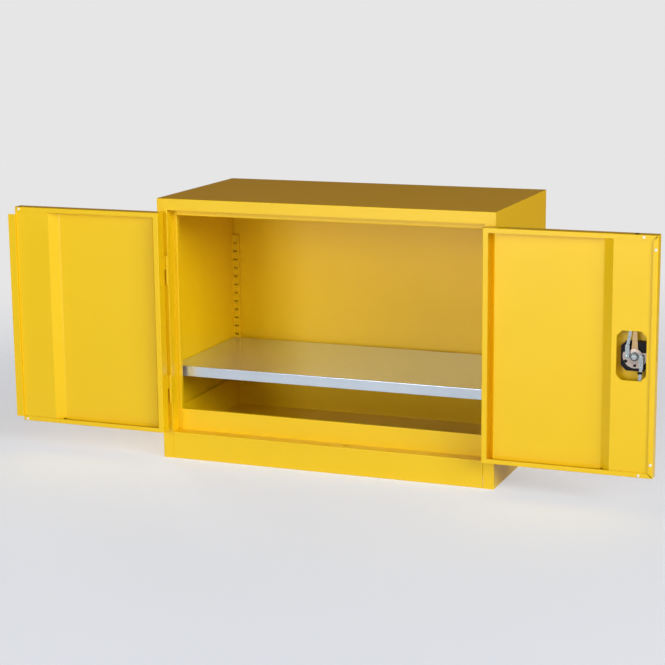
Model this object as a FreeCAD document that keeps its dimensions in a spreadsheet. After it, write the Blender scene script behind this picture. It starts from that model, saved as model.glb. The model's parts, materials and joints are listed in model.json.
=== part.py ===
import FreeCAD, Part
import math
import os
import re
import Sketcher
from FreeCAD import Placement, Rotation, Vector

# A low two-door cupboard for hazardous liquids, folded from sheet steel, with one
# shelf, a sump tray for spills and a three-point lock in the right door.
# Sizes are in millimetres. X runs to the right, Y to the back and Z up, and the
# origin lies on the floor below the middle of the front plane. Both doors stand open
# by half a turn, and the lock is drawn back.

document = FreeCAD.newDocument("StorageCupboard")

CARCASS_SIZES = {
    "width": 915,
    "depth": 470,
    "height": 695,
    "sheet": 1,
    "bend_radius": 0.8,
    "stile_width": 29,
    "rebate_depth": 35,
    "stop_width": 10,
    "stop_return": 12,
    "rear_flange": 15,
    "head_flange": 12,
    "fascia_height": 30,
    "top_stop_drop": 17.5,
    "top_rear_flange": 20,
    "rebate_notch": 4,
    "plinth_height": 72,
    "plinth_flange": 20,
    "sill_height": 56,
    "sill_hem": 8,
    "welding_seam": 0.3,
    "base_height": 39,
    "base_flange": 20,
}

TRAY_SIZES = {
    "tray_height": 83,
    "tray_side_gap": 5,
    "tray_end_gap": 1,
    "tray_bend": 3,
    "tray_rim": 6,
}

SHELF_SIZES = {
    "shelf_height": 28,
    "shelf_hem": 12,
    "shelf_side_gap": 1.5,
    "shelf_end_gap": 2,
    "shelf_step": 13,
    "upright_width": 20,
    "upright_depth": 12,
    "upright_foot": 150,
    "upright_head": 22,
    "slot_top": 512,
    "slot_pitch": 24,
    "slot_count": 14,
    "slot_width": 11,
    "slot_height": 4.2,
    "clip_gauge": 1.5,
    "clip_width": 16,
    "clip_reach": 14,
    "clip_leg": 20,
    "clip_rise": 11,
    "hook_width": 9,
    "hook_height": 2.5,
    "hook_depth": 4,
}

DOOR_SIZES = {
    "door_thickness": 32,
    "door_sheet": 1,
    "door_bend": 1.8,
    "door_flange": 12,
    "hinge_flange": 14,
    "hinge_gap": 2.5,
    "meeting_gap": 3,
    "door_top_gap": 3,
    "door_bottom_gap": 5,
    "panel_rise": 12,
    "panel_overlap": 4,
    "panel_step": 3,
    "slope_bend": 10,
    "relief_width": 7,
    "foot_width": 9,
    "slope_run": 24,
    "left_stiffener": 98,
    "right_stiffener": 106,
    "lip_width": 20,
    "lip_clearance": 0.3,
    "lip_top_cut": 20,
    "lip_bottom_cut": 11,
    "corner_slit": 1.5,
    "buffer_radius": 3.5,
    "buffer_rise": 1.2,
    "buffer_edge": 5.5,
    "buffer_inset": 34,
    "left_buffer_inset": 12,
}

HINGE_SIZES = {
    "hinge_height": 76,
    "upper_hinge": 470,
    "lower_hinge": 153,
    "barrel_radius": 3.5,
    "pin_radius": 2,
    "pin_fit": 0.05,
    "pin_cap": 1,
    "knuckle_gap": 0.3,
    "pin_outset": 2.5,
    "pin_standoff": 4.2,
    "leaf_gauge": 1.5,
    "frame_leaf": 16,
    "door_leaf": 22,
}

LOCK_SIZES = {
    "lock_backset": 52,
    "window_width": 72,
    "window_height": 120,
    "window_chamfer": 13,
    "window_offset": 6,
    "window_rise": 3,
    "dish_width": 68,
    "dish_height": 72,
    "dish_chamfer": 13,
    "dish_depth": 15,
    "dish_wall": 2,
    "bezel_width": 4,
    "bezel_thickness": 1.5,
    "fitting_gap": 0.3,
    "plate_gauge": 2,
    "plate_radius": 29,
    "plate_top": 9,
    "plate_ear": 34,
    "plate_ear_drop": 4,
    "plate_square": 7,
    "plate_square_drop": 22.5,
    "plate_eye": 4,
    "plate_eye_side": 22,
    "plate_eye_drop": 13,
    "hub_radius": 9,
    "hub_fit": 0.1,
    "grip_length": 50,
    "grip_width": 15,
    "grip_proud": 5,
    "grip_sunk": 4,
    "grip_chamfer": 4.5,
    "grip_bevel": 1,
    "key_radius": 5.5,
    "key_fit": 0.05,
    "key_proud": 0.6,
    "key_length": 15,
    "keyway_width": 1.6,
    "keyway_length": 7,
    "keyway_depth": 6,
    "spindle_square": 8,
    "stud_radius": 3.5,
    "tongue_gauge": 2,
    "tongue_length": 60,
    "tongue_root": 17,
    "tongue_tip": 10,
    "tongue_ring": 13,
    "cam_gauge": 2,
    "cam_throw": 16.5,
    "cam_width": 13,
    "cam_chamfer": 4,
    "crankpin_radius": 2.5,
    "crankpin_end": 1.3,
    "nut_flats": 13,
    "nut_height": 5,
    "link_width": 10.5,
    "link_gauge": 2,
    "link_length": 25,
    "link_chamfer": 3,
    "link_fit": 0.1,
    "rod_width": 7.5,
    "rod_gauge": 2.5,
    "rod_float": 0.3,
    "upper_rod_bend": 118,
    "lower_rod_bend": 240,
    "rod_tip_out": 1.5,
    "rod_tip_bevel": 2,
    "rod_slot_side": 4,
    "rod_slot_float": 2.5,
    "tongue_slot_float": 1.5,
    "tongue_slot_rise": 43,
    "tongue_slot_drop": 10,
}

SIZES = {}
for group in (CARCASS_SIZES, TRAY_SIZES, SHELF_SIZES, DOOR_SIZES, HINGE_SIZES, LOCK_SIZES):
    SIZES.update(group)

sizes = document.addObject("Spreadsheet::Sheet", "Sizes")
for row, (name, number) in enumerate(SIZES.items(), start=1):
    sizes.set(f"A{row}", name)
    sizes.set(f"B{row}", str(number))
    sizes.setAlias(f"B{row}", name)
document.recompute()

# Places that follow from the sizes
HALF = "(width / 2)"
STILE = f"({HALF} - stile_width)"
STOP = f"({STILE} - stop_width)"
INSIDE = f"({HALF} - sheet)"
REAR = "(depth - 2 * sheet)"
REBATE_END = "(rebate_depth + stop_return)"
SHELF_BOTTOM = "(slot_top - shelf_step * slot_pitch + clip_rise)"
PIN_X = f"({STILE} + pin_outset)"
DOOR_X = f"({PIN_X} + pin_outset + hinge_gap)"
DOOR_Y = "(-2 * pin_standoff)"
DOOR_Z = "(plinth_height + door_bottom_gap)"
DOOR_WIDTH = f"({STILE} - hinge_gap - meeting_gap / 2)"
DOOR_HEIGHT = f"(height - fascia_height - door_top_gap - {DOOR_Z})"
LOCK_U = f"({DOOR_WIDTH} - lock_backset)"
KEEPER_X = "(meeting_gap / 2 + lock_backset)"

# Depths in the right door, from its outer face inwards
PLATE_V = "dish_depth"
TONGUE_V = f"({PLATE_V} + plate_gauge + fitting_gap)"
CAM_V = f"({TONGUE_V} + tongue_gauge)"
NUT_V = f"({CAM_V} + cam_gauge)"
ROD_V = f"({NUT_V} + rod_float)"
LINK_V = f"({ROD_V} + rod_gauge)"

pieces = []


def bound(text):
    """Turn a size given in words into an expression on the sheet."""
    return re.sub(r"[a-z_]+", lambda word: "Sizes." + word[0] if word[0] in SIZES else word[0], text)


def value(text):
    """Work out a size given in words."""
    return float(sizes.evalExpression(bound(text)))


def bind(item, **links):
    """Tie an object's properties to sizes given in words."""
    for name, text in links.items():
        item.setExpression(name.replace("_of_", "."), bound(text))


def place(item, x="0", y="0", z="0"):
    """Tie an object's place to the sheet."""
    for axis, text in zip("xyz", (x, y, z)):
        item.setExpression("Placement.Base." + axis, bound(text))


def new_piece(name, x="0", y="0", z="0"):
    """Start a piece at a place that is tied to the sheet."""
    body = document.addObject("PartDesign::Body", name)
    body.Label = name
    place(body, x, y, z)
    pieces.append(body)
    return body


def solid_box(body, name, x, y, z, cut=False):
    """Add or cut a box between pairs of coordinates."""
    kind = "PartDesign::SubtractiveBox" if cut else "PartDesign::AdditiveBox"
    box = body.newObject(kind, name)
    for size, (low, high) in zip(("Length", "Width", "Height"), (x, y, z)):
        box.setExpression(size, bound(f"({high}) - ({low})"))
    place(box, x[0], y[0], z[0])
    document.recompute()
    return box


def solid_rod(body, name, radius, length, x="0", y="0", z="0", turn=None, cut=False):
    """Add or cut a round rod that runs along Z unless it is turned."""
    kind = "PartDesign::SubtractiveCylinder" if cut else "PartDesign::AdditiveCylinder"
    rod = body.newObject(kind, name)
    if turn is not None:
        rod.Placement = Placement(Vector(), turn)
    bind(rod, Radius=radius, Height=length)
    place(rod, x, y, z)
    document.recompute()
    return rod


def origin_feature(body, role):
    """Find one of a body's own base planes or axes."""
    return next(item for item in body.Origin.OriginFeatures if item.Role == role)


def new_sketch(body, name, plane, offset):
    """Start a sketch on a base plane, moved along the plane's normal."""
    sketch = body.newObject("Sketcher::SketchObject", name)
    sketch.AttachmentSupport = (origin_feature(body, plane), [""])
    sketch.MapMode = "FlatFace"
    sketch.setExpression("AttachmentOffset.Base.z", bound(offset))
    return sketch


def outline(body, name, plane, points, offset="0"):
    """Draw a closed outline whose corners are all tied to the sheet."""
    sketch = new_sketch(body, name, plane, offset)
    corners = [(value(a), value(b)) for a, b in points]
    for index, corner in enumerate(corners):
        following = corners[(index + 1) % len(corners)]
        sketch.addGeometry(Part.LineSegment(Vector(*corner, 0), Vector(*following, 0)), False)
    for index in range(len(corners)):
        following = (index + 1) % len(corners)
        sketch.addConstraint(Sketcher.Constraint("Coincident", index, 2, following, 1))
    for index, corner in enumerate(corners):
        for kind, number, text in zip(("DistanceX", "DistanceY"), corner, points[index]):
            rule = sketch.addConstraint(Sketcher.Constraint(kind, -1, 1, index, 1, number))
            sketch.setExpression(f"Constraints[{rule}]", bound(text))
    document.recompute()
    return sketch


def circle(body, name, plane, a, b, radius, offset="0"):
    """Draw a circle tied to the sheet."""
    sketch = new_sketch(body, name, plane, offset)
    centre = Vector(value(a), value(b), 0)
    sketch.addGeometry(Part.Circle(centre, Vector(0, 0, 1), value(radius)), False)
    rules = (("DistanceX", (-1, 1, 0, 3), a), ("DistanceY", (-1, 1, 0, 3), b), ("Radius", (0,), radius))
    for kind, where, text in rules:
        rule = sketch.addConstraint(Sketcher.Constraint(kind, *where, value(text)))
        sketch.setExpression(f"Constraints[{rule}]", bound(text))
    document.recompute()
    return sketch


def pad(body, name, sketch, length):
    """Raise a sketch along its normal."""
    feature = body.newObject("PartDesign::Pad", name)
    feature.Profile = sketch
    bind(feature, Length=length)
    sketch.Visibility = False
    document.recompute()
    return feature


def pocket(body, name, sketch, length):
    """Cut a sketch into the piece, against its normal, and make sure that it cuts."""
    before = body.Shape.Volume
    feature = body.newObject("PartDesign::Pocket", name)
    feature.Profile = sketch
    bind(feature, Length=length)
    sketch.Visibility = False
    document.recompute()
    if body.Shape.Volume >= before:
        raise RuntimeError(f"{body.Label}: {name} cuts nothing")
    return feature


def edges_at(feature, direction, corners):
    """Name the edges that run along a direction through corners, given as points."""
    found = []
    for number, edge in enumerate(feature.Shape.Edges, start=1):
        if edge.Degenerated or edge.Curve.TypeId != "Part::GeomLine":
            continue
        run = edge.Vertexes[-1].Point - edge.Vertexes[0].Point
        if run.cross(direction).Length > 0.001 * run.Length:
            continue
        for corner in corners:
            if (edge.Vertexes[0].Point - corner).cross(direction).Length < 0.001:
                found.append(f"Edge{number}")
    return found


def edges_within(feature, **spans):
    """Name the edges that lie wholly within spans of the coordinates."""
    limits = {axis: [value(text) for text in span] for axis, span in spans.items()}
    found = []
    for number, edge in enumerate(feature.Shape.Edges, start=1):
        ends = [vertex.Point for vertex in edge.Vertexes]
        if all(low - 0.001 < getattr(end, axis) < high + 0.001
               for axis, (low, high) in limits.items() for end in ends):
            found.append(f"Edge{number}")
    return found


def round_off(body, name, feature, names, radius):
    """Round named edges of a feature."""
    if not names:
        raise RuntimeError(f"{body.Label}: {name} finds no edge")
    fillet = body.newObject("PartDesign::Fillet", name)
    fillet.Base = (feature, names)
    bind(fillet, Radius=radius)
    document.recompute()
    return fillet


def bevel(body, name, feature, names, size):
    """Bevel named edges of a feature."""
    if not names:
        raise RuntimeError(f"{body.Label}: {name} finds no edge")
    chamfer = body.newObject("PartDesign::Chamfer", name)
    chamfer.Base = (feature, names)
    bind(chamfer, Size=size)
    document.recompute()
    return chamfer


def strip_outline(path, side, gauge):
    """Give the outline of a strip folded along a path of square bends.

    The strip's thickness lies to the left of the path where side is 1, and to its
    right where side is -1. Also give the corners outside and inside the bends.
    """
    steps = []
    for start, end in zip(path, path[1:]):
        run = [value(end[k]) - value(start[k]) for k in (0, 1)]
        length = math.hypot(*run)
        steps.append((round(run[0] / length), round(run[1] / length)))
    normals = [(-side * step[1], side * step[0]) for step in steps]
    far = []
    wide, tight = [], []
    for index, point in enumerate(path):
        beside = {normals[max(index - 1, 0)], normals[min(index, len(normals) - 1)]}
        shift = [sum(normal[k] for normal in beside) for k in (0, 1)]
        moved = tuple(f"{text} + ({amount}) * {gauge}" for text, amount in zip(point, shift))
        far.append(moved)
        if 0 < index < len(path) - 1:
            before, after = steps[index - 1], steps[index]
            turn = (before[0] * after[1] - before[1] * after[0]) * side
            wide.append(point if turn > 0 else moved)
            tight.append(moved if turn > 0 else point)
    return list(path) + far[::-1], wide, tight


def lift(plane, point):
    """Turn a corner of a path into a point in space."""
    a, b = value(point[0]), value(point[1])
    return Vector(a, b, 0) if plane == "XY_Plane" else Vector(0, a, b)


def fold(body, name, plane, path, side, gauge, start, length):
    """Fold a strip of sheet along a path and round its bends."""
    points, wide, tight = strip_outline(path, side, gauge)
    raised = pad(body, name, outline(body, name + "Path", plane, points, start), length)
    if not wide:
        return raised
    direction = Vector(0, 0, 1) if plane == "XY_Plane" else Vector(1, 0, 0)
    outside = [lift(plane, point) for point in wide]
    inside = [lift(plane, point) for point in tight]
    rounded = round_off(body, name + "Outside", raised, edges_at(raised, direction, outside),
                        f"bend_radius + {gauge}")
    return round_off(body, name + "Inside", rounded, edges_at(rounded, direction, inside), "bend_radius")


def side_name(hand):
    """Name a side, seen from the front: 1 is the right side and -1 the left."""
    return "right" if hand > 0 else "left"


def mirrored(hand, low, high):
    """Give a span along X, measured outwards, on either side."""
    return (low, high) if hand > 0 else (f"-({high})", f"-({low})")


def octagon(width, height, chamfer, a="0", b="0"):
    """Give a rectangle with its corners cut off, about a centre."""
    half_width, half_height = f"({width}) / 2", f"({height}) / 2"
    corners = []
    for right, up, first in ((1, 1, 0), (1, -1, 1), (-1, -1, 0), (-1, 1, 1)):
        beside = (f"{a} + ({right}) * ({half_width} - {chamfer})", f"{b} + ({up}) * ({half_height})")
        below = (f"{a} + ({right}) * ({half_width})", f"{b} + ({up}) * ({half_height} - {chamfer})")
        corners += [below, beside] if first else [beside, below]
    return corners


# Carcass

def make_side_panel(hand):
    """A side wall whose front edge is folded into a stile with a rebate for the door."""
    body = new_piece(side_name(hand) + "_side_panel")
    spots = [
        (f"{HALF} - rear_flange", "depth"),
        (HALF, "depth"),
        (HALF, "0"),
        (STILE, "0"),
        (STILE, "rebate_depth"),
        (STOP, "rebate_depth"),
        (STOP, REBATE_END),
    ]
    path = [(f"({hand}) * ({x})", y) for x, y in spots]
    fold(body, "Wall", "XY_Plane", path, -hand, "sheet", "0", "height - sheet")
    head = ("height - fascia_height", "height")
    solid_box(body, "HeadNotch", mirrored(hand, f"{STOP} - sheet", INSIDE),
              ("-sheet", f"{REBATE_END} + sheet"), head, cut=True)
    solid_box(body, "FasciaNotch", mirrored(hand, INSIDE, f"{HALF} + sheet"), ("-sheet", "sheet"),
              head, cut=True)
    solid_box(body, "RebateNotch", mirrored(hand, f"{STILE} - sheet", f"{STILE} + 2 * sheet"),
              ("3 * sheet", "rebate_depth - 3 * sheet"),
              ("height - fascia_height - rebate_notch", "height"), cut=True)
    solid_box(body, "HeadFlange", mirrored(hand, f"{HALF} - head_flange", INSIDE),
              (f"{REBATE_END} + sheet", REAR), ("height - 2 * sheet", "height - sheet"))


def make_back_panel():
    """The back sheet, welded inside the rear flanges of the side walls."""
    body = new_piece("back_panel")
    face = f"{REAR} + sheet"
    path = [(f"{face} - plinth_flange", "0"), (face, "0"), (face, "height - sheet")]
    half = f"({INSIDE} - bend_radius)"
    fold(body, "Sheet", "YZ_Plane", path, 1, "sheet", f"-{half}", f"2 * {half}")


def make_top_panel():
    """The lid, folded down into the fascia, with the doors' upper stop behind it."""
    body = new_piece("top_panel")
    lid = [("0", "height - fascia_height"), ("0", "height"), ("depth", "height")]
    fold(body, "Lid", "YZ_Plane", lid, -1, "sheet", f"-{HALF}", "width")
    solid_box(body, "Soffit", (f"-{INSIDE}", INSIDE), ("0", "rebate_depth + sheet"),
              ("height - fascia_height", "height - fascia_height + sheet"))
    stop = [
        ("rebate_depth", "height - fascia_height + sheet"),
        ("rebate_depth", "height - fascia_height - top_stop_drop"),
        (REBATE_END, "height - fascia_height - top_stop_drop"),
    ]
    fold(body, "Stop", "YZ_Plane", stop, 1, "sheet", f"-{STOP}", f"2 * {STOP}")
    flange_half = f"({HALF} - rear_flange - welding_seam)"
    solid_box(body, "RearFlange", (f"-{flange_half}", flange_half), ("depth - sheet", "depth"),
              ("height - top_rear_flange", "height - sheet / 2"))
    solid_box(body, "KeeperSlot", keeper_span(), rod_slot_depth(1),
              ("height - fascia_height - sheet", "height - fascia_height + 2 * sheet"), cut=True)


def keeper_span():
    """The width of a slot that takes the end of a lock rod, with the door shut."""
    reach = "(rod_width / 2 + rod_slot_side)"
    return f"{KEEPER_X} - {reach}", f"{KEEPER_X} + {reach}"


def rod_slot_depth(direction):
    """The depth of a slot for a lock rod: from the front plane, or in the open door."""
    low, high = f"({ROD_V} - rod_slot_float)", f"({ROD_V} + rod_gauge + rod_slot_float)"
    return (low, high) if direction > 0 else (f"-{high}", f"-{low}")


def make_kick_plate():
    """The plinth, the ledge under the doors and the sill that the doors close on."""
    body = new_piece("kick_plate")
    plinth = [("plinth_flange", "0"), ("0", "0"), ("0", "plinth_height"), ("rebate_depth", "plinth_height")]
    plinth_half = f"({STILE} - welding_seam)"
    fold(body, "Plinth", "YZ_Plane", plinth, -1, "sheet", f"-{plinth_half}", f"2 * {plinth_half}")
    sill_top = "(plinth_height + sill_height)"
    sill = [
        ("rebate_depth", "plinth_height - sheet"),
        ("rebate_depth", sill_top),
        (REBATE_END, sill_top),
        (REBATE_END, f"{sill_top} - sill_hem"),
    ]
    fold(body, "Sill", "YZ_Plane", sill, -1, "sheet", f"-{STOP}", f"2 * {STOP}")
    solid_box(body, "KeeperSlot", keeper_span(), rod_slot_depth(1),
              ("plinth_height - 2 * sheet", "plinth_height + sheet"), cut=True)


def make_base_panel():
    """The bottom sheet that carries the sump tray."""
    body = new_piece("base_panel")
    front = f"({REBATE_END} + tray_end_gap)"
    path = [
        (front, "base_height - base_flange"),
        (front, "base_height"),
        (REAR, "base_height"),
        (REAR, "base_height - base_flange"),
    ]
    fold(body, "Sheet", "YZ_Plane", path, -1, "sheet", f"-{INSIDE}", f"2 * {INSIDE}")


def make_sump_tray():
    """A deep liquid-tight tray with welded corners and an inward rim at its back."""
    body = new_piece("sump_tray", z="base_height")
    half = f"({INSIDE} - tray_side_gap)"
    front = f"({REBATE_END} + tray_end_gap)"
    back = f"({REAR} - tray_end_gap)"
    solid_box(body, "Block", (f"-{half}", half), (front, back), ("0", "tray_height"))
    inside = (f"-{half} + sheet", f"{half} - sheet"), (f"{front} + sheet", f"{back} - sheet")
    well = solid_box(body, "Well", *inside, ("sheet", "tray_height + sheet"), cut=True)
    bent = round_off(body, "InnerBends", well, edges_within(well, z=("sheet", "sheet")), "tray_bend - sheet")
    round_off(body, "OuterBends", bent, edges_within(bent, z=("0", "0")), "tray_bend")
    solid_box(body, "Rim", (f"-{half} + tray_bend", f"{half} - tray_bend"), (f"{back} - tray_rim", back),
              ("tray_height - sheet", "tray_height"))


def make_upright(hand, end):
    """A slotted channel for the shelf clips: end 1 is the back pair and -1 the front."""
    name = f"{'rear' if end > 0 else 'front'}_{side_name(hand)}_upright"
    length = "(slot_top + upright_head - upright_foot)"
    body = new_piece(name, f"({hand}) * {INSIDE}", REAR if end > 0 else REBATE_END, "upright_foot")
    spots = [("0", "0"), ("0", "upright_depth"), ("upright_width", "upright_depth"), ("upright_width", "0")]
    path = [(f"({-hand}) * {x}", f"({-end}) * {y}") for x, y in spots]
    section, _, _ = strip_outline(path, hand * -end, "sheet")
    pad(body, "Channel", outline(body, "Section", "XY_Plane", section), length)
    middle = "(upright_width / 2)"
    top_slot = "(slot_top - upright_foot)"
    slot = solid_box(body, "Slot",
                     mirrored(-hand, f"{middle} - slot_width / 2", f"{middle} + slot_width / 2"),
                     mirrored(-end, "upright_depth - 2 * sheet", "upright_depth + sheet"),
                     (f"{top_slot} - slot_height / 2", f"{top_slot} + slot_height / 2"), cut=True)
    pattern = body.newObject("PartDesign::LinearPattern", "Slots")
    pattern.Originals = [slot]
    pattern.Direction = (origin_feature(body, "Z_Axis"), [""])
    pattern.Reversed = True
    bind(pattern, Length="slot_pitch * (slot_count - 1)", Occurrences="slot_count")
    body.Tip = pattern
    document.recompute()


def make_shelf():
    """The shelf: a plain tray turned upside down, with hems folded in below."""
    body = new_piece("shelf", z=SHELF_BOTTOM)
    half = f"({INSIDE} - shelf_side_gap)"
    front = f"({REBATE_END} + upright_depth + shelf_end_gap)"
    back = f"({REAR} - upright_depth - shelf_end_gap)"
    block = solid_box(body, "Block", (f"-{half}", half), (front, back), ("0", "shelf_height"))
    upper = edges_within(block, z=("shelf_height", "shelf_height"))
    lower = edges_within(block, z=("0", "0"))
    round_off(body, "Bends", block, upper + lower, "bend_radius + sheet")
    solid_box(body, "Hollow", (f"-{half} + sheet", f"{half} - sheet"),
              (f"{front} + sheet", f"{back} - sheet"), ("sheet", "shelf_height - sheet"), cut=True)
    solid_box(body, "Underside", (f"-{half} + shelf_hem", f"{half} - shelf_hem"),
              (f"{front} + shelf_hem", f"{back} - shelf_hem"), ("-sheet", "2 * sheet"), cut=True)


def make_shelf_clip(hand, end):
    """A bent clip that hooks into an upright and carries one corner of the shelf."""
    name = f"{'rear' if end > 0 else 'front'}_{side_name(hand)}_shelf_clip"
    face = f"{REAR} - upright_depth" if end > 0 else f"{REBATE_END} + upright_depth"
    centre = f"({hand}) * ({INSIDE} - upright_width / 2)"
    body = new_piece(name, centre, face, SHELF_BOTTOM)
    path = [("0", "-clip_leg"), ("0", "0"), (f"({-end}) * clip_reach", "0")]
    fold(body, "Angle", "YZ_Plane", path, end, "clip_gauge", "-clip_width / 2", "clip_width")
    solid_box(body, "Hook", ("-hook_width / 2", "hook_width / 2"),
              mirrored(end, "-clip_gauge / 2", "hook_depth"),
              ("-clip_rise - hook_height / 2", "-clip_rise + hook_height / 2"))


# Hinges: a pin fixed in the lower knuckle, on which the door's knuckle turns

def hinge_name(hand, level, item):
    """Name a piece of a hinge."""
    return f"{side_name(hand)}_{level}_hinge_{item}"


def make_hinge(hand, level):
    """The two leaves and the pin of a lift-off hinge, with the door open."""
    where = (f"({hand}) * {PIN_X}", "-pin_standoff", f"{level}_hinge")
    knuckle = "(hinge_height / 2 - knuckle_gap / 2)"
    joint = "(hinge_height / 2 + knuckle_gap / 2)"

    frame = new_piece(hinge_name(hand, level, "frame_leaf"), *where)
    solid_rod(frame, "Knuckle", "barrel_radius", knuckle)
    solid_box(frame, "Web", mirrored(hand, "0", "barrel_radius + knuckle_gap"),
              ("pin_standoff - leaf_gauge", "pin_standoff"), ("0", knuckle))
    solid_box(frame, "Plate", mirrored(hand, "barrel_radius + knuckle_gap", "frame_leaf"),
              ("pin_standoff - leaf_gauge", "pin_standoff"), ("0", "hinge_height"))
    solid_rod(frame, "Bore", "pin_radius", "hinge_height", z="pin_cap", cut=True)

    pin = new_piece(hinge_name(hand, level, "pin"), *where)
    solid_rod(pin, "Shank", "pin_radius", "hinge_height - 2 * pin_cap - knuckle_gap", z="pin_cap")

    leaf = new_piece(hinge_name(hand, level, "door_leaf"), *where)
    solid_rod(leaf, "Knuckle", "barrel_radius", knuckle, z=joint)
    edge = "(pin_outset + hinge_gap)"
    solid_box(leaf, "Web", mirrored(hand, "0", edge), ("-leaf_gauge", "0"), (joint, "hinge_height"))
    solid_box(leaf, "Neck", mirrored(hand, f"{edge} - leaf_gauge", edge), ("-2 * pin_standoff", "0"),
              (joint, "hinge_height"))
    solid_box(leaf, "Plate", mirrored(hand, f"{edge} - leaf_gauge", edge),
              ("-pin_standoff - door_leaf", "-2 * pin_standoff"), ("0", "hinge_height"))
    solid_rod(leaf, "Bore", "pin_radius + pin_fit", "hinge_height - pin_cap", cut=True)


# Doors. In each door U runs from the hinge edge towards the meeting edge, and V from
# the outer face inwards, which is towards the front while the door is open.

ALONG_SPINDLE = Rotation(Vector(1, 0, 0), 90)


def door_piece(hand, name):
    """Start a piece that is measured from a door's lower hinge corner."""
    return new_piece(name, f"({hand}) * {DOOR_X}", DOOR_Y, DOOR_Z)


def inwards(low, high):
    """Give a span of V as a span of Y."""
    return f"-({high})", f"-({low})"


def make_door_skin(hand):
    """The outer door sheet, folded round into side walls and flanges."""
    body = door_piece(hand, side_name(hand) + "_door_skin")
    block = solid_box(body, "Block", mirrored(hand, "0", DOOR_WIDTH), inwards("0", "door_thickness"),
                      ("0", DOOR_HEIGHT))
    outer = edges_within(block, y=("0", "0"))
    inner = edges_within(block, y=("-door_thickness", "-door_thickness"))
    round_off(body, "Bends", block, outer + inner, "door_bend")
    solid_box(body, "Hollow", mirrored(hand, "door_sheet", f"{DOOR_WIDTH} - door_sheet"),
              inwards("door_sheet", "door_thickness - door_sheet"),
              ("door_sheet", f"{DOOR_HEIGHT} - door_sheet"), cut=True)
    meeting = "door_flange" if hand > 0 else "door_sheet"
    solid_box(body, "Mouth", mirrored(hand, "hinge_flange", f"{DOOR_WIDTH} - {meeting}"),
              inwards("door_thickness - 2 * door_sheet", "door_thickness + door_sheet"),
              ("door_flange", f"{DOOR_HEIGHT} - door_flange"), cut=True)
    return body


def cut_corner_slit(body, top):
    """Cut the open mitre between two flanges, at a corner of the right door's meeting edge."""
    across = ("door_bend", "door_bend + corner_slit", "door_flange + corner_slit", "door_flange")
    along = ("door_bend + corner_slit", "door_bend", "door_flange", "door_flange + corner_slit")
    corners = []
    for u, z in zip(across, along):
        height = f"{DOOR_HEIGHT} - ({z})" if top else z
        corners.append((f"{DOOR_WIDTH} - ({u})", height))
    name = f"Slit{'High' if top else 'Low'}"
    slit = outline(body, name + "Outline", "XZ_Plane", corners, "door_thickness + door_sheet")
    pocket(body, name, slit, "2.5 * door_sheet")


def make_left_door_skin():
    """The left door, with a lip along its meeting edge that the right door covers."""
    body = make_door_skin(-1)
    lip_v = "(door_thickness + buffer_rise + lip_clearance)"
    height = ("lip_bottom_cut", f"{DOOR_HEIGHT} - lip_top_cut")
    solid_box(body, "LipWall", mirrored(-1, f"{DOOR_WIDTH} - door_sheet", DOOR_WIDTH),
              inwards("door_thickness / 2", f"{lip_v} + door_sheet"), height)
    lip = solid_box(body, "Lip", mirrored(-1, DOOR_WIDTH, f"{DOOR_WIDTH} + lip_width"),
                    inwards(lip_v, f"{lip_v} + door_sheet"), height)
    bend = edges_at(lip, Vector(0, 0, 1), [Vector(-value(f"{DOOR_WIDTH} - door_sheet"),
                                                  -value(f"{lip_v} + door_sheet"), 0)])
    round_off(body, "LipBend", lip, bend, "bend_radius")
    cut_tongue_slot(body, -1)


def make_right_door_skin():
    """The right door, cut out for the handle, the two lock rods and the tongue."""
    body = make_door_skin(1)
    for top in (False, True):
        cut_corner_slit(body, top)
    hole = outline(body, "DishHoleOutline", "XZ_Plane",
                   octagon("dish_width + 2 * fitting_gap", "dish_height + 2 * fitting_gap", "dish_chamfer",
                           LOCK_U, f"{DOOR_HEIGHT} / 2"), "2 * door_sheet")
    pocket(body, "DishHole", hole, "3 * door_sheet")
    reach = "(rod_width / 2 + rod_slot_side)"
    for name, height in (("LowSlot", ("-door_sheet", "2 * door_sheet")),
                         ("HighSlot", (f"{DOOR_HEIGHT} - 2 * door_sheet", f"{DOOR_HEIGHT} + door_sheet"))):
        solid_box(body, name, (f"{LOCK_U} - {reach}", f"{LOCK_U} + {reach}"), rod_slot_depth(-1), height,
                  cut=True)
    cut_tongue_slot(body, 1)


def cut_tongue_slot(body, hand):
    """Cut the meeting edge of a door where the lock's tongue swings through it."""
    edge = mirrored(hand, f"{DOOR_WIDTH} - 2 * door_sheet", f"{DOOR_WIDTH} + door_sheet")
    solid_box(body, "TongueSlot", edge,
              inwards(f"{TONGUE_V} - tongue_slot_float", f"{CAM_V} + tongue_slot_float"),
              (f"{DOOR_HEIGHT} / 2 - tongue_slot_drop", f"{DOOR_HEIGHT} / 2 + tongue_slot_rise"), cut=True)


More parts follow.
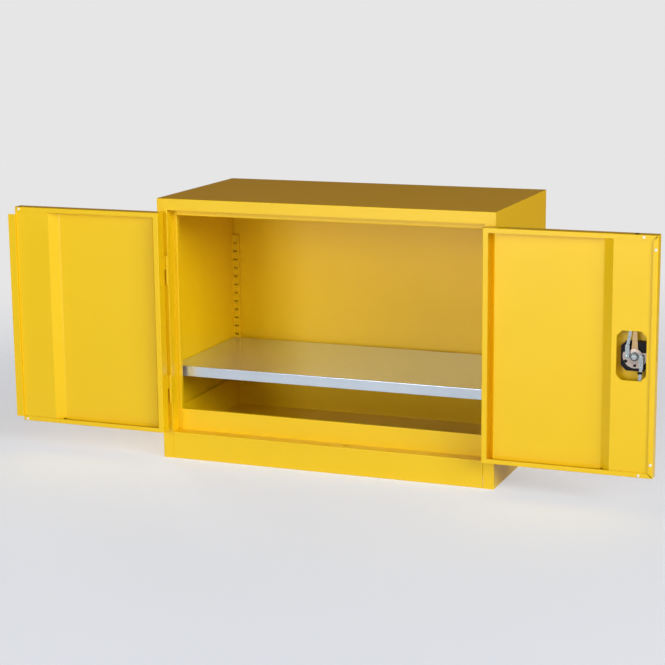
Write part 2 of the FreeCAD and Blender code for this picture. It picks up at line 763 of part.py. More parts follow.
def make_inner_panel(hand):
    """The pressed sheet inside a door, raised along the meeting edge as a stiffener."""
    body = door_piece(hand, side_name(hand) + "_door_inner_panel")
    foot_start = "(hinge_flange - foot_width)"
    rise_start = "(hinge_flange - 0.5 * door_sheet)"
    crest = "(door_thickness - door_sheet - panel_step)"
    stiffener = f"({DOOR_WIDTH} - {side_name(hand)}_stiffener)"
    meeting = "(door_flange - panel_overlap)" if hand > 0 else "door_sheet"
    lower = [
        (foot_start, "door_sheet"),
        (rise_start, "door_sheet"),
        (f"{rise_start} + panel_rise", "panel_rise"),
        (f"{stiffener} - slope_run", "panel_rise"),
        (stiffener, crest),
        (f"{DOOR_WIDTH} - {meeting}", crest),
    ]
    upper = [(u, f"{v} + door_sheet") for u, v in reversed(lower)]
    points = [(f"({hand}) * ({u})", f"-({v})") for u, v in lower + upper]
    start = "(door_flange - panel_overlap)"
    section = outline(body, "Section", "XY_Plane", points, start)
    bent = pad(body, "Sheet", section, f"{DOOR_HEIGHT} - 2 * {start}")
    bends = (
        ("Bends", (1, 2, 4, 7, 9, 10), "bend_radius"),
        ("SlopeInside", (8,), "slope_bend"),
        ("SlopeOutside", (3,), "slope_bend + door_sheet"),
    )
    for name, indexes, radius in bends:
        corners = [Vector(value(points[index][0]), value(points[index][1]), 0) for index in indexes]
        bent = round_off(body, name, bent, edges_at(bent, Vector(0, 0, 1), corners), radius)
    relief = mirrored(hand, f"{stiffener} - slope_run", f"{stiffener} - slope_run + relief_width")
    for name, height in (("LowRelief", ("0", "door_flange")),
                         ("HighRelief", (f"{DOOR_HEIGHT} - door_flange", DOOR_HEIGHT))):
        solid_box(body, name, relief, inwards("0", "door_thickness"), height, cut=True)
    return body


def make_right_inner_panel():
    """The right door's inner sheet, with the window over the lock."""
    body = make_inner_panel(1)
    window = outline(body, "WindowOutline", "XZ_Plane",
                     octagon("window_width", "window_height", "window_chamfer",
                             f"({LOCK_U} - window_offset)", f"({DOOR_HEIGHT} / 2 + window_rise)"),
                     "door_thickness")
    pocket(body, "Window", window, "panel_step + 2 * door_sheet")


def make_buffer(hand, name, side, end, top):
    """A round buffer stuck on a door's flange, to land softly on the stop or on the lip."""
    u = f"({DOOR_WIDTH} - {side})"
    z = f"({DOOR_HEIGHT} - {end})" if top else end
    body = new_piece(f"{side_name(hand)}_door_{'upper' if top else 'lower'}_{name}",
                     f"({hand}) * ({DOOR_X} + {u})", f"{DOOR_Y} - door_thickness", f"{DOOR_Z} + {z}")
    solid_rod(body, "Disc", "buffer_radius", "buffer_rise", turn=ALONG_SPINDLE)


# Lock. Its pieces are measured from the spindle's centre on the door's outer face.

def lock_piece(name, u="0", z="0"):
    """Start a piece that is measured from the spindle."""
    return new_piece(name, f"{DOOR_X} + {LOCK_U} + {u}", DOOR_Y, f"{DOOR_Z} + {DOOR_HEIGHT} / 2 + {z}")


def spindle_rod(body, name, radius, start, end, u="0", z="0", cut=False):
    """Add or cut a round rod along the spindle, between two depths."""
    return solid_rod(body, name, radius, f"({end}) - ({start})", u, f"-({start})", z, ALONG_SPINDLE, cut)


def make_handle_dish():
    """The moulded dish in the door's outer face, open to the outside."""
    body = lock_piece("handle_dish")
    bezel = outline(body, "BezelOutline", "XZ_Plane",
                    octagon("dish_width + 2 * bezel_width", "dish_height + 2 * bezel_width",
                            "(dish_chamfer + bezel_width / 2)"), "-bezel_thickness")
    rim = pad(body, "Bezel", bezel, "bezel_thickness")
    face = edges_within(rim, y=("bezel_thickness", "bezel_thickness"))
    bevel(body, "BezelBevel", rim, face, "bezel_thickness / 2")
    shell = outline(body, "ShellOutline", "XZ_Plane", octagon("dish_width", "dish_height", "dish_chamfer"))
    pad(body, "Shell", shell, "dish_depth")
    well = outline(body, "WellOutline", "XZ_Plane",
                   octagon("dish_width - 2 * dish_wall", "dish_height - 2 * dish_wall",
                           "(dish_chamfer - dish_wall / 2)"), "dish_depth - dish_wall")
    pocket(body, "Well", well, "dish_depth - dish_wall + bezel_thickness + dish_wall")
    spindle_rod(body, "HubHole", "hub_radius + hub_fit", "dish_depth - 2 * dish_wall",
                "dish_depth + dish_wall", cut=True)


def make_lock_plate():
    """The plate that backs the dish, a disc with its top cut straight and an ear."""
    body = lock_piece("lock_plate")
    back = f"({PLATE_V} + plate_gauge)"
    spindle_rod(body, "Disc", "plate_radius", PLATE_V, back)
    solid_box(body, "StraightTop", ("-plate_radius", "plate_radius"),
              inwards(f"{PLATE_V} - plate_gauge", f"{back} + plate_gauge"),
              ("plate_top", "2 * plate_radius"), cut=True)
    solid_box(body, "Ear", ("0", "plate_ear"), inwards(PLATE_V, back), ("-plate_ear_drop", "plate_top"))
    spindle_rod(body, "HubHole", "hub_radius + hub_fit", f"{PLATE_V} - plate_gauge", f"{back} + plate_gauge",
                cut=True)
    solid_box(body, "SquareHole", ("-plate_square / 2", "plate_square / 2"),
              inwards(f"{PLATE_V} - plate_gauge", f"{back} + plate_gauge"),
              ("-plate_square_drop - plate_square / 2", "-plate_square_drop + plate_square / 2"), cut=True)
    eye = outline(body, "EyeOutline", "XZ_Plane",
                  octagon("2 * plate_eye", "2 * plate_eye", "plate_eye / 2", "-plate_eye_side",
                          "-plate_eye_drop"), back)
    pocket(body, "Eye", eye, "2 * plate_gauge")


def make_handle():
    """The grip with its hub and square spindle, bored for the key cylinder."""
    body = lock_piece("turn_handle")
    bar = outline(body, "GripOutline", "XZ_Plane", octagon("grip_length", "grip_width", "grip_chamfer"),
                  "-grip_proud")
    grip = pad(body, "Grip", bar, "grip_proud + grip_sunk")
    face = edges_within(grip, y=("grip_proud", "grip_proud"))
    bevel(body, "GripBevel", grip, face, "grip_bevel")
    spindle_rod(body, "Hub", "hub_radius", "0", TONGUE_V)
    square = ("-spindle_square / 2", "spindle_square / 2")
    solid_box(body, "Square", square, inwards(f"{TONGUE_V} - 1", NUT_V), square)
    spindle_rod(body, "Stud", "stud_radius", f"{NUT_V} - 1", f"{NUT_V} + nut_height + 0.5")
    spindle_rod(body, "KeyBore", "key_radius + key_fit", "-2 * grip_proud",
                "key_length - grip_proud - key_proud + fitting_gap", cut=True)


def make_key_cylinder():
    """The key cylinder in the middle of the grip."""
    body = lock_piece("key_cylinder")
    front = "(-grip_proud - key_proud)"
    barrel = spindle_rod(body, "Barrel", "key_radius", front, f"{front} + key_length")
    face = edges_within(barrel, y=("grip_proud + key_proud", "grip_proud + key_proud"))
    bevel(body, "FaceBevel", barrel, face, "key_proud / 2")
    solid_box(body, "Keyway", ("-keyway_width / 2", "keyway_width / 2"),
              inwards(f"{front} - 1", f"{front} + keyway_depth"),
              ("-keyway_length / 2", "keyway_length / 2"), cut=True)


def cut_square_hole(body, start, end):
    """Cut the square hole that fits the spindle."""
    square = ("-spindle_square / 2", "spindle_square / 2")
    solid_box(body, "SquareHole", square, inwards(start, end), square, cut=True)


def make_tongue():
    """The tapered tongue that swings behind the meeting edge of the left door."""
    body = lock_piece("lock_tongue")
    spindle_rod(body, "Ring", "tongue_ring", TONGUE_V, CAM_V)
    taper = outline(body, "TaperOutline", "XZ_Plane",
                    [("-tongue_root / 2", "0"), ("tongue_root / 2", "0"),
                     ("tongue_tip / 2", "tongue_length"), ("-tongue_tip / 2", "tongue_length")], TONGUE_V)
    blade = pad(body, "Taper", taper, "tongue_gauge")
    tip = [Vector(sign * value("tongue_tip / 2"), 0, value("tongue_length")) for sign in (-1, 1)]
    round_off(body, "TipRound", blade, edges_at(blade, Vector(0, 1, 0), tip), "tongue_tip / 4")
    cut_square_hole(body, f"{TONGUE_V} - 1", f"{CAM_V} + 1")


def make_cam_plate():
    """The double crank on the spindle, with a pin for each rod's link."""
    body = lock_piece("cam_plate")
    crank = outline(body, "CrankOutline", "XZ_Plane",
                    octagon("2 * cam_throw + cam_width", "cam_width", "cam_chamfer"), CAM_V)
    pad(body, "Crank", crank, "cam_gauge")
    for name, u in (("Left", "-cam_throw"), ("Right", "cam_throw")):
        spindle_rod(body, name + "Pin", "crankpin_radius", NUT_V, f"{LINK_V} + link_gauge + crankpin_end", u)
    cut_square_hole(body, f"{CAM_V} - 1", f"{NUT_V} + 1")


def make_nut():
    """The hexagon nut that holds the cam plate on the spindle."""
    nut = lock_piece("spindle_nut")
    radius = "(nut_flats / 2 / cos(30))"
    corners = [(f"{radius} * cos({angle})", f"{radius} * sin({angle})") for angle in range(0, 360, 60)]
    pad(nut, "Hexagon", outline(nut, "HexagonOutline", "XZ_Plane", corners, NUT_V), "nut_height")
    spindle_rod(nut, "Bore", "stud_radius", f"{NUT_V} - 1", f"{NUT_V} + nut_height + 1", cut=True)


def make_rod(level, side):
    """A flat lock rod that is bent to its slot in the door's edge, and its link to the crankpin."""
    up = -side
    link = lock_piece(f"{level}_rod_link", f"({side}) * cam_throw")
    strap = outline(link, "StrapOutline", "XZ_Plane",
                    octagon("link_width", "link_length + link_width", "link_chamfer", "0",
                            f"({up}) * link_length / 2"), LINK_V)
    pad(link, "Strap", strap, "link_gauge")
    spindle_rod(link, "PinHole", "crankpin_radius + link_fit", f"{LINK_V} - 1", f"{LINK_V} + link_gauge + 1",
                cut=True)

    rod = lock_piece(f"{level}_lock_rod", f"({side}) * cam_throw")
    half = "(rod_width / 2)"
    end = f"({DOOR_HEIGHT} / 2 + rod_tip_out)"
    bend = f"{level}_rod_bend"
    near = [
        (f"-{half}", f"link_length - {half}"),
        (f"-{half}", "link_length"),
        (f"cam_throw - {half}", bend),
        (f"cam_throw - {half}", f"{end} - rod_tip_bevel"),
        (f"cam_throw - {half} + rod_tip_bevel", end),
    ]
    far = [
        (f"cam_throw + {half} - rod_tip_bevel", end),
        (f"cam_throw + {half}", f"{end} - rod_tip_bevel"),
        (f"cam_throw + {half}", bend),
        (half, "link_length"),
        (half, f"link_length - {half}"),
    ]
    points = [(f"({-side}) * ({u})", f"({up}) * ({z})") for u, z in near + far]
    pad(rod, "Strip", outline(rod, "StripOutline", "XZ_Plane", points, ROD_V), "rod_gauge")


for hand in (-1, 1):
    make_side_panel(hand)
    for end in (-1, 1):
        make_upright(hand, end)
        make_shelf_clip(hand, end)
    for level in ("upper", "lower"):
        make_hinge(hand, level)
make_back_panel()
make_top_panel()
make_kick_plate()
make_base_panel()
make_sump_tray()
make_shelf()
make_left_door_skin()
make_inner_panel(-1)
make_right_door_skin()
make_right_inner_panel()
for top in (False, True):
    make_buffer(-1, "buffer", "left_buffer_inset", "buffer_edge", top)
    make_buffer(1, "side_buffer", "buffer_edge", "buffer_inset", top)
    make_buffer(1, "end_buffer", "buffer_inset", "buffer_edge", top)
make_handle_dish()
make_lock_plate()
make_handle()
make_key_cylinder()
make_tongue()
make_cam_plate()
make_nut()
make_rod("upper", -1)
make_rod("lower", 1)
document.recompute()

for item in document.Objects:
    if "Invalid" in item.State or "Error" in item.State:
        raise RuntimeError(f"{item.Label} did not compute")
for piece in pieces:
    if piece.Shape.isNull() or not piece.Shape.isValid() or len(piece.Shape.Solids) != 1:
        raise RuntimeError(f"{piece.Label} is not one sound solid")

os.makedirs("parts", exist_ok=True)
for piece in pieces:
    piece.Shape.exportStep(f"parts/{piece.Label}.step")
print(f"{len(pieces)} pieces")
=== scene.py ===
import json
import math

import bpy
from mathutils import Matrix, Vector


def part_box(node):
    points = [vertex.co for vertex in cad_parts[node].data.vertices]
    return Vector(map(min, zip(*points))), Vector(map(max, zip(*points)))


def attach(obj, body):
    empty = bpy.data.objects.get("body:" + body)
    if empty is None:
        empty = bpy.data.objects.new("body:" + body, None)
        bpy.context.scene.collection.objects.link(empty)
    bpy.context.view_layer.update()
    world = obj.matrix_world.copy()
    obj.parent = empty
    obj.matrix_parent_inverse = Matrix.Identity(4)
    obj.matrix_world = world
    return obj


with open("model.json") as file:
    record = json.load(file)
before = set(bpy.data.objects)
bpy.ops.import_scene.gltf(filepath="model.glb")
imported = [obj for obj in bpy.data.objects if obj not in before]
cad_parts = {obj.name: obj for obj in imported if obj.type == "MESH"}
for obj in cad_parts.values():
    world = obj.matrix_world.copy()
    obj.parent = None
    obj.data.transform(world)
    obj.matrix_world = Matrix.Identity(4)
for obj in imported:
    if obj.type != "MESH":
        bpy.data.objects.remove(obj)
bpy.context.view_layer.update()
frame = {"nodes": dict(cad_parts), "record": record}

# A yellow two-door cupboard for hazardous liquids, seen from the front, a little from the
# right and from above, with both doors wide open. Lengths are in metres.

MM = 0.001
NODES = frame["nodes"]
bpy.ops.object.select_all(action="DESELECT")


# Colours

def colour(code):
    """Turn an sRGB hex code into a linear colour with full alpha."""
    parts = [int(code[place:place + 2], 16) / 255 for place in (0, 2, 4)]
    linear = [part / 12.92 if part <= 0.04045 else ((part + 0.055) / 1.055) ** 2.4
              for part in parts]
    return (*linear, 1.0)


# Materials

def add_node(tree, kind, settings=None, **inputs):
    """Add a node, set its own settings, and set or link its inputs."""
    node = tree.nodes.new(kind)
    for name, setting in (settings or {}).items():
        setattr(node, name, setting)
    for name, source in inputs.items():
        key = int(name[5:]) if name.startswith("input") else name.replace("_", " ")
        if isinstance(source, bpy.types.NodeSocket):
            tree.links.new(source, node.inputs[key])
        else:
            node.inputs[key].default_value = source
    return node


def new_material(name):
    """Start a material and give its tree, its shader and its object coordinates."""
    material = bpy.data.materials.new(name)
    material.use_nodes = True
    tree = material.node_tree
    shader = tree.nodes["Principled BSDF"]
    place = add_node(tree, "ShaderNodeTexCoord").outputs["Object"]
    return material, tree, shader, place


def mottle(tree, shader, place, size, detail, low, high):
    """Let the base colour drift between two near colours, and give the clouds it follows."""
    cloud = add_node(tree, "ShaderNodeTexNoise", Vector=place, Scale=1 / size, Detail=detail)
    body = add_node(tree, "ShaderNodeMixRGB", Fac=cloud.outputs["Fac"], Color1=colour(low),
                    Color2=colour(high))
    tree.links.new(body.outputs["Color"], shader.inputs["Base Color"])
    return cloud.outputs["Fac"]


def powder_coat(name, low, high, roughness):
    """Polyester powder, sprayed and stoved on sheet steel: an even colour under a satin
    gloss, with the orange peel that the flowing powder leaves."""
    material, tree, shader, place = new_material(name)
    cloud = mottle(tree, shader, place, size=180 * MM, detail=2.0, low=low, high=high)
    # Real peel has waves of about 2 mm, drawn at 3 mm so that it still shows here
    peel = add_node(tree, "ShaderNodeTexNoise", Vector=place, Scale=1 / (3 * MM), Detail=1.5)
    wave = add_node(tree, "ShaderNodeBump", Height=peel.outputs["Fac"], Strength=0.10,
                    Distance=0.15 * MM)
    tree.links.new(wave.outputs["Normal"], shader.inputs["Normal"])
    gloss = add_node(tree, "ShaderNodeMapRange", Value=cloud, To_Min=roughness - 0.03,
                     To_Max=roughness + 0.03)
    tree.links.new(gloss.outputs["Result"], shader.inputs["Roughness"])
    shader.inputs["IOR"].default_value = 1.5
    shader.inputs["Specular IOR Level"].default_value = 0.5
    return material


def galvanised_sheet():
    """Steel sheet dipped in zinc and skin-passed: a smooth, bluish satin mirror in which the
    walls show softly, with faint clouds in the bloom and crystals hardly to be seen."""
    material, tree, shader, place = new_material("galvanised_sheet")
    cloud = add_node(tree, "ShaderNodeTexNoise", Vector=place, Scale=1 / (60 * MM), Detail=3.0)
    crystal = add_node(tree, "ShaderNodeTexVoronoi", Vector=place, Scale=1 / (12 * MM))
    shade = add_node(tree, "ShaderNodeSeparateColor", Color=crystal.outputs["Color"])
    # The clouds lead, and the crystals add a trace
    bloom = add_node(tree, "ShaderNodeMixRGB", Fac=0.85, Color1=shade.outputs["Red"],
                     Color2=cloud.outputs["Fac"])
    body = add_node(tree, "ShaderNodeMixRGB", Fac=bloom.outputs["Color"],
                    Color1=colour("CAD9E8"), Color2=colour("DAE7F4"))
    tree.links.new(body.outputs["Color"], shader.inputs["Base Color"])
    gloss = add_node(tree, "ShaderNodeMapRange", Value=bloom.outputs["Color"], To_Min=0.16,
                     To_Max=0.24)
    tree.links.new(gloss.outputs["Result"], shader.inputs["Roughness"])
    shader.inputs["Metallic"].default_value = 0.7
    return material


def zinc_plate(name, low, high, roughness):
    """Pressed steel with bright zinc plate: a clean metal gleam with faint, fine lines
    that were rolled into the strip, and a light bloom of passivation colour."""
    material, tree, shader, place = new_material(name)
    mottle(tree, shader, place, size=9 * MM, detail=3.0, low=low, high=high)
    stretched = add_node(tree, "ShaderNodeMapping", Vector=place,
                         Scale=(1 / (0.4 * MM), 1.0, 1 / (12 * MM)))
    rolled = add_node(tree, "ShaderNodeTexNoise", Vector=stretched.outputs["Vector"],
                      Scale=1.0, Detail=2.0)
    gloss = add_node(tree, "ShaderNodeMapRange", Value=rolled.outputs["Fac"],
                     To_Min=roughness - 0.06, To_Max=roughness + 0.08)
    tree.links.new(gloss.outputs["Result"], shader.inputs["Roughness"])
    line = add_node(tree, "ShaderNodeBump", Height=rolled.outputs["Fac"], Strength=0.05,
                    Distance=0.02 * MM)
    tree.links.new(line.outputs["Normal"], shader.inputs["Normal"])
    shader.inputs["Metallic"].default_value = 1.0
    return material


def moulded_nylon():
    """Black glass-filled nylon, moulded in a spark-eroded tool: deep and satin, with a
    fine even grain."""
    material, tree, shader, place = new_material("black_moulded_nylon")
    mottle(tree, shader, place, size=14 * MM, detail=2.0, low="060508", high="0E0D12")
    grain = add_node(tree, "ShaderNodeTexNoise", Vector=place, Scale=1 / (0.6 * MM), Detail=3.0)
    pits = add_node(tree, "ShaderNodeBump", Height=grain.outputs["Fac"], Strength=0.25,
                    Distance=0.05 * MM)
    tree.links.new(pits.outputs["Normal"], shader.inputs["Normal"])
    gloss = add_node(tree, "ShaderNodeMapRange", Value=grain.outputs["Fac"], To_Min=0.38,
                     To_Max=0.52)
    tree.links.new(gloss.outputs["Result"], shader.inputs["Roughness"])
    shader.inputs["Specular IOR Level"].default_value = 0.2
    return material


def moulded_rubber():
    """White thermoplastic rubber, moulded smooth: soft and a little translucent, so it
    glows pale against the paint."""
    material, tree, shader, place = new_material("white_moulded_rubber")
    mottle(tree, shader, place, size=6 * MM, detail=2.0, low="F3EFE2", high="FFFBF0")
    shader.inputs["Roughness"].default_value = 0.35
    shader.inputs["Subsurface Weight"].default_value = 0.3
    shader.inputs["Subsurface Scale"].default_value = 2 * MM
    return material


YELLOW = powder_coat("yellow_powder_coat", "F6CD05", "FBD30B", 0.32)
GALVANISED = galvanised_sheet()
ZINC = zinc_plate("bright_zinc_plate", "98A1A3", "C3CACB", 0.24)
BLUSH_ZINC = zinc_plate("blush_passivated_zinc", "A89A92", "BFB0A6", 0.36)
STRAW_ZINC = zinc_plate("straw_passivated_zinc", "B3966C", "C6A97F", 0.36)
NYLON = moulded_nylon()
RUBBER = moulded_rubber()
# A dark zinc for the washer under the nut, whose dark tone paints the shade ring round the nut
SHADE_RING_ZINC = zinc_plate("zinc_plate_painted_shade_ring", "565B5D", "6C7273", 0.34)
# Polished zinc, lighter and bluer than the rest, so that its colour also paints the highlight
# on the stud's end
POLISHED_ZINC_AND_HIGHLIGHT = zinc_plate("polished_zinc_painted_highlight", "B4BCC2", "CBD3D8", 0.20)
NICKEL = zinc_plate("nickel_plated_brass", "D2CFC6", "E8E5DD", 0.18)

FINISH_OF_SLOT = {
    "yellow_powder_coat": YELLOW,
    "galvanised_steel": GALVANISED,
    "zinc_plated_steel": ZINC,
    "black_plastic": NYLON,
    "white_rubber": RUBBER,
    "nickel_plated_brass": NICKEL,
}
FINISH_OF_NODE = {"lock_plate": BLUSH_ZINC, "lock_tongue": STRAW_ZINC}


def dress_frame():
    """Give every CAD node the finish of its slot, or one of its own."""
    for part in frame["record"]["subparts"]:
        finish = FINISH_OF_NODE.get(part["node"], FINISH_OF_SLOT[part["material_slot"]])
        for slot in NODES[part["node"]].material_slots:
            slot.material = finish


# Small hardware of the lock, which the CAD model doesn't have

JOINT_AT = {joint["name"]: Vector(joint["pos_m"])
            for joint in frame["record"]["behaviour"]["joints"]}
SPINDLE = JOINT_AT["handle_turn"]
FACE_DEPTH = 0.5 * MM  # Points this near to a rod's tip lie on its end face
CAP_SIZE = (9 * MM, 4 * MM, 4 * MM)
CAP_INSET = 1.5 * MM  # From the rod's tip to the middle of its cap
# A black block on the lower rod, which paints the shadow gap where the link ends and the rod
# goes on
SHADE_BLOCK_SIZE = (11 * MM, 4.6 * MM, 6 * MM)
SHADE_BLOCK_DROP = 38.5 * MM  # From the crankpin down to the painted shadow block
LEANING_LENGTH = 240 * MM  # The lower rod leans down to here, and hangs straight below
SMOOTH_ANGLE = math.radians(30)


def finish_piece(piece, name, rim, segments, material, body):
    """Name a new piece, round its edges, and say what it is made of and what it rides on."""
    piece.name = name
    bevel = piece.modifiers.new("rim", "BEVEL")
    bevel.width = rim
    bevel.segments = segments
    bevel.limit_method = "ANGLE"
    bpy.ops.object.modifier_apply(modifier=bevel.name)
    bpy.ops.object.shade_smooth_by_angle(angle=SMOOTH_ANGLE)
    piece.data.materials.append(material)
    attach(piece, body)


def lock_disc(name, x, z, front, radius, thickness, rim, material, body):
    """A turned disc that faces out of the open door's window."""
    bpy.ops.object.select_all(action="DESELECT")
    bpy.ops.mesh.primitive_cylinder_add(vertices=64, radius=radius, depth=thickness,
                                        location=(x, front + thickness / 2, z),
                                        rotation=(math.radians(90), 0, 0))
    finish_piece(bpy.context.object, name, rim, segments=4, material=material,
                 body=body)


def nylon_block(name, middle, size, lean, body):
    """A small black block on a rod: the moulded caps, and the block that paints the shadow gap
    below the lower link.
    """
    bpy.ops.object.select_all(action="DESELECT")
    bpy.ops.mesh.primitive_cube_add(size=1, location=middle, rotation=(0, lean, 0), scale=size)
    bpy.ops.object.transform_apply(location=False, rotation=False, scale=True)
    finish_piece(bpy.context.object, name, rim=0.6 * MM, segments=3, material=NYLON,
                 body=body)


def rod_end(node, up):
    """The middle of a rod's upper end face if up is 1, or of its lower one if up is -1."""
    rod = NODES[node]
    points = [rod.matrix_world @ vertex.co for vertex in rod.data.vertices]
    tip = max(up * point.z for point in points)
    face = [point for point in points if up * point.z > tip - FACE_DEPTH]
    return sum(face, Vector()) / len(face)


def dress_lock():
    """The collar round the nut, the washer, whose dark tone is painted shade round the nut, the
    stud's end, whose light tone is partly a painted highlight, the heads on the pins and
    rivets, the nylon caps on the rods, and a black block on the lower rod that paints the
    shadow gap below its link."""
    nut_low, nut_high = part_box("spindle_nut")
    nut_front, nut_back = nut_low[1], nut_high[1]
    lock_disc("spindle_collar", SPINDLE.x, SPINDLE.z, front=nut_back + 1 * MM, radius=19 * MM,
              thickness=1 * MM, rim=0.3 * MM, material=BLUSH_ZINC, body="handle")
    # The washer's dark tone is painted shade: the dark ring round the nut
    lock_disc("spindle_washer", SPINDLE.x, SPINDLE.z, front=nut_back - 1 * MM, radius=11 * MM,
              thickness=1 * MM, rim=0.25 * MM, material=SHADE_RING_ZINC, body="handle")
    # The stud's end is polished, and its light bluish tone is partly a painted highlight
    lock_disc("stud_end", SPINDLE.x, SPINDLE.z, front=nut_front - 1 * MM, radius=4 * MM,
              thickness=1.2 * MM, rim=0.8 * MM, material=POLISHED_ZINC_AND_HIGHLIGHT, body="handle")
    pin_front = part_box("cam_plate")[0][1]
    for level, up in (("upper", 1), ("lower", -1)):
        rod = level + "_rod"
        pin = JOINT_AT[rod + "_pivot"]
        low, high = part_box(rod + "_link")
        # A link with round ends is longer than its holes are apart, by its own width
        hole_distance = (high[2] - low[2]) - (high[0] - low[0])
        lock_disc(level + "_crankpin_head", pin.x, pin.z, front=pin_front - 0.2 * MM,
                  radius=4 * MM, thickness=1.2 * MM, rim=0.5 * MM, material=ZINC, body="handle")
        lock_disc(level + "_link_rivet", pin.x, pin.z + up * hole_distance,
                  front=low[1] - 1.4 * MM, radius=3.4 * MM, thickness=1.6 * MM, rim=1.2 * MM,
                  material=ZINC, body=rod)
        tip = rod_end(level + "_lock_rod", up)
        nylon_block(rod + "_cap", tip - Vector((0, 0, up * CAP_INSET)), CAP_SIZE, 0, rod)
    # A black block below the lower link paints the shadow gap where the link ends on the rod
    pin, tip = JOINT_AT["lower_rod_pivot"], rod_end("lower_lock_rod", -1)
    lean = (tip.x - pin.x) / LEANING_LENGTH
    nylon_block("lower_rod_painted_shade_block", (pin.x + SHADE_BLOCK_DROP * lean, tip.y, pin.z - SHADE_BLOCK_DROP),
                SHADE_BLOCK_SIZE, lean, "lower_rod")


# Studio

PAPER = "E6E6E6"  # The backdrop, as a viewer sees it
FLOOR_PAPER = "E4E9F0"
FLOOR_GLOW = 0.42  # Added to the floor for a viewer's rays, and never as light
ROOM_TINT = "C78A5D"  # The colour of the light from beside and behind
ROOM_FRONT = 1.4  # Strength of the light from the front of the room
ROOM_BACK = 0.8  # Strength of the light from the wall behind
ROOM_DARK = 0.05  # Strength of the light from everywhere else

# The soft edges of two bright fields in the room. Each row has the axis of the direction of
# view, where the light starts and where it is full, and the share of it that is left before.
FRONT_FIELD = (
    ("Y", 0.1, -0.4, 0.0),
    ("X", -0.50, -0.15, 0.0),
    ("X", 0.7, 0.3, 0.3),
    ("Z", 0.5, 0.1, 0.0),
)
BACK_FIELD = (
    ("Y", 0.3, 0.7, 0.0),
    ("X", 0.7, 0.5, 0.0),
    ("Z", 0.42, 0.26, 0.0),
)


def shown_directly(tree, mirrored=1.0):
    """One for the rays in which a viewer sees the backdrop itself, a share for those in which
    a metal mirrors it, and none for its light."""
    rays = add_node(tree, "ShaderNodeLightPath").outputs
    mirror = add_node(tree, "ShaderNodeMath", {"operation": "MULTIPLY"},
                      input0=rays["Is Glossy Ray"], input1=mirrored)
    straight = add_node(tree, "ShaderNodeMath", {"operation": "MAXIMUM"},
                        input0=rays["Is Camera Ray"], input1=rays["Is Transmission Ray"])
    return add_node(tree, "ShaderNodeMath", {"operation": "MAXIMUM"},
                    input0=straight.outputs["Value"],
                    input1=mirror.outputs["Value"]).outputs["Value"]


def make_floor():
    """A pale sheet of studio paper that fades into the backdrop."""
    bpy.ops.mesh.primitive_plane_add(size=60.0, location=(0, 0, 0))
    floor = bpy.context.object
    floor.name = "floor"
    material, tree, shader, place = new_material("studio_paper")
    shader.inputs["Base Color"].default_value = colour(FLOOR_PAPER)
    shader.inputs["Roughness"].default_value = 0.9
    shader.inputs["Specular IOR Level"].default_value = 0.1
    # The camera and the metals see the paper as pale as the backdrop, with its shadows
    glow = add_node(tree, "ShaderNodeMath", {"operation": "MULTIPLY"},
                    input0=shown_directly(tree), input1=FLOOR_GLOW)
    tree.links.new(glow.outputs["Value"], shader.inputs["Emission Strength"])
    shader.inputs["Emission Color"].default_value = colour("EAF2FF")
    # It turns clear from 0.9 m to 3.5 m away from the cupboard, so that no edge shows
    clear = add_node(tree, "ShaderNodeBsdfTransparent")
    reach = add_node(tree, "ShaderNodeVectorMath", {"operation": "LENGTH"}, input0=place)
    fade = add_node(tree, "ShaderNodeMapRange", {"interpolation_type": "SMOOTHSTEP"},
                    Value=reach.outputs["Value"], From_Min=0.9, From_Max=3.5, To_Min=0.15,
                    To_Max=1.0)
    both = add_node(tree, "ShaderNodeMixShader", Fac=fade.outputs["Result"],
                    input1=shader.outputs["BSDF"], input2=clear.outputs["BSDF"])
    tree.links.new(both.outputs["Shader"], tree.nodes["Material Output"].inputs["Surface"])
    floor.data.materials.append(material)


def inside_field(tree, way, field):
    """One within a field of the room, falling off over its soft edges."""
    share = 1.0
    for axis, start, full, least in field:
        edge = add_node(tree, "ShaderNodeMapRange", Value=way.outputs[axis], From_Min=start,
                        From_Max=full, To_Min=least)
        share = add_node(tree, "ShaderNodeMath", {"operation": "MULTIPLY"}, input0=share,
                         input1=edge.outputs["Result"]).outputs["Value"]
    return share


def make_world():
    """Even paper for the camera, and for whatever mirrors the front of the room. Its light
    comes from low in front, and dimly from a brown wall low behind."""
    world = bpy.data.worlds.new("studio")
    bpy.context.scene.world = world
    world.use_nodes = True
    tree = world.node_tree
    toward = add_node(tree, "ShaderNodeTexCoord").outputs["Generated"]
    way = add_node(tree, "ShaderNodeSeparateXYZ", Vector=toward)
    front = inside_field(tree, way, FRONT_FIELD)
    back = inside_field(tree, way, BACK_FIELD)
    tint = add_node(tree, "ShaderNodeMixRGB", Fac=front, Color1=colour(ROOM_TINT),
                    Color2=colour("FFFFFF"))
    dim = add_node(tree, "ShaderNodeMapRange", Value=back, To_Min=ROOM_DARK, To_Max=ROOM_BACK)
    level = add_node(tree, "ShaderNodeMapRange", Value=front, To_Min=dim.outputs["Result"],
                     To_Max=ROOM_FRONT)
    paper = shown_directly(tree, front)
    seen = add_node(tree, "ShaderNodeMixRGB", Fac=paper, Color1=tint.outputs["Color"],
                    Color2=colour(PAPER))
    power = add_node(tree, "ShaderNodeMix", {"data_type": "FLOAT"}, input0=paper,
                     input2=level.outputs["Result"], input3=1.0)
    background = tree.nodes["Background"]
    tree.links.new(seen.outputs["Color"], background.inputs["Color"])
    tree.links.new(power.outputs["Result"], background.inputs["Strength"])


LAMP_AIM = Vector((0, 0, 0.35))  # The middle of the cupboard's front

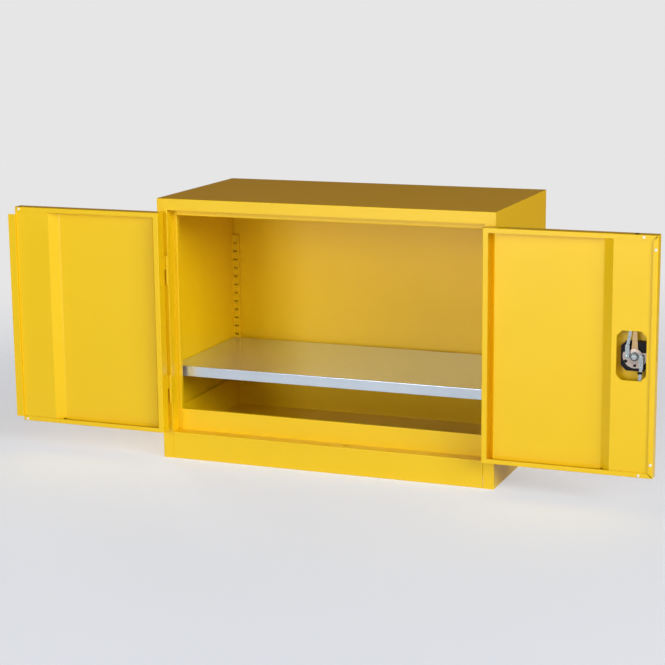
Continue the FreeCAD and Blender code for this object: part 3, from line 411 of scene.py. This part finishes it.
# Each row has a lamp's name, its place, its width and height, and its power in watts
LAMPS = (
    ("front_softbox", (-2.3, -7.6, 2.6), 2.4, 2.0, 106),
    ("left_softbox", (-6.0, -5.0, 2.4), 2.4, 2.0, 46),
    ("right_softbox", (5.6, -5.6, 3.2), 2.8, 2.8, 110),
    ("side_softbox", (7.1, -3.0, 2.9), 2.8, 2.8, 300),
    ("low_softbox", (-2.0, -7.4, 0.9), 2.4, 1.0, 78),
    ("back_softbox", (-6.0, 5.6, 0.6), 2.0, 1.2, 330),
)


def make_lamp(name, place, width, height, power):
    """Hang a soft rectangular lamp that faces the cupboard."""
    bpy.ops.object.light_add(type="AREA", location=place)
    lamp = bpy.context.object
    lamp.name = name
    lamp.data.shape = "RECTANGLE"
    lamp.data.size = width
    lamp.data.size_y = height
    lamp.data.energy = power
    lamp.rotation_euler = (LAMP_AIM - Vector(place)).to_track_quat("-Z", "Y").to_euler()


# Fitted to the cupboard's corners in the photograph, with the lens in millimetres
CAMERA_PLACE = (1.6692, -4.1220, 1.2744)
CAMERA_AZIMUTH = math.radians(21.684)
CAMERA_ELEVATION = math.radians(11.511)
CAMERA_ROLL = math.radians(-0.574)
CAMERA_LENS = 96.73


def make_camera():
    """Stand the camera where the photograph was taken from."""
    forward = Vector((-math.sin(CAMERA_AZIMUTH) * math.cos(CAMERA_ELEVATION),
                      math.cos(CAMERA_AZIMUTH) * math.cos(CAMERA_ELEVATION),
                      -math.sin(CAMERA_ELEVATION)))
    level = Vector((math.cos(CAMERA_AZIMUTH), math.sin(CAMERA_AZIMUTH), 0))
    upright = level.cross(forward)
    right = level * math.cos(CAMERA_ROLL) + upright * math.sin(CAMERA_ROLL)
    up = upright * math.cos(CAMERA_ROLL) - level * math.sin(CAMERA_ROLL)
    camera = bpy.data.objects.new("camera", bpy.data.cameras.new("camera"))
    bpy.context.scene.collection.objects.link(camera)
    turn = Matrix((right, up, -forward)).transposed()
    camera.matrix_world = Matrix.Translation(CAMERA_PLACE) @ turn.to_4x4()
    camera.data.lens = CAMERA_LENS
    bpy.context.scene.camera = camera


dress_frame()
dress_lock()
make_floor()
make_world()
for lamp_row in LAMPS:
    make_lamp(*lamp_row)
make_camera()

bpy.context.scene.view_settings.view_transform = "Standard"
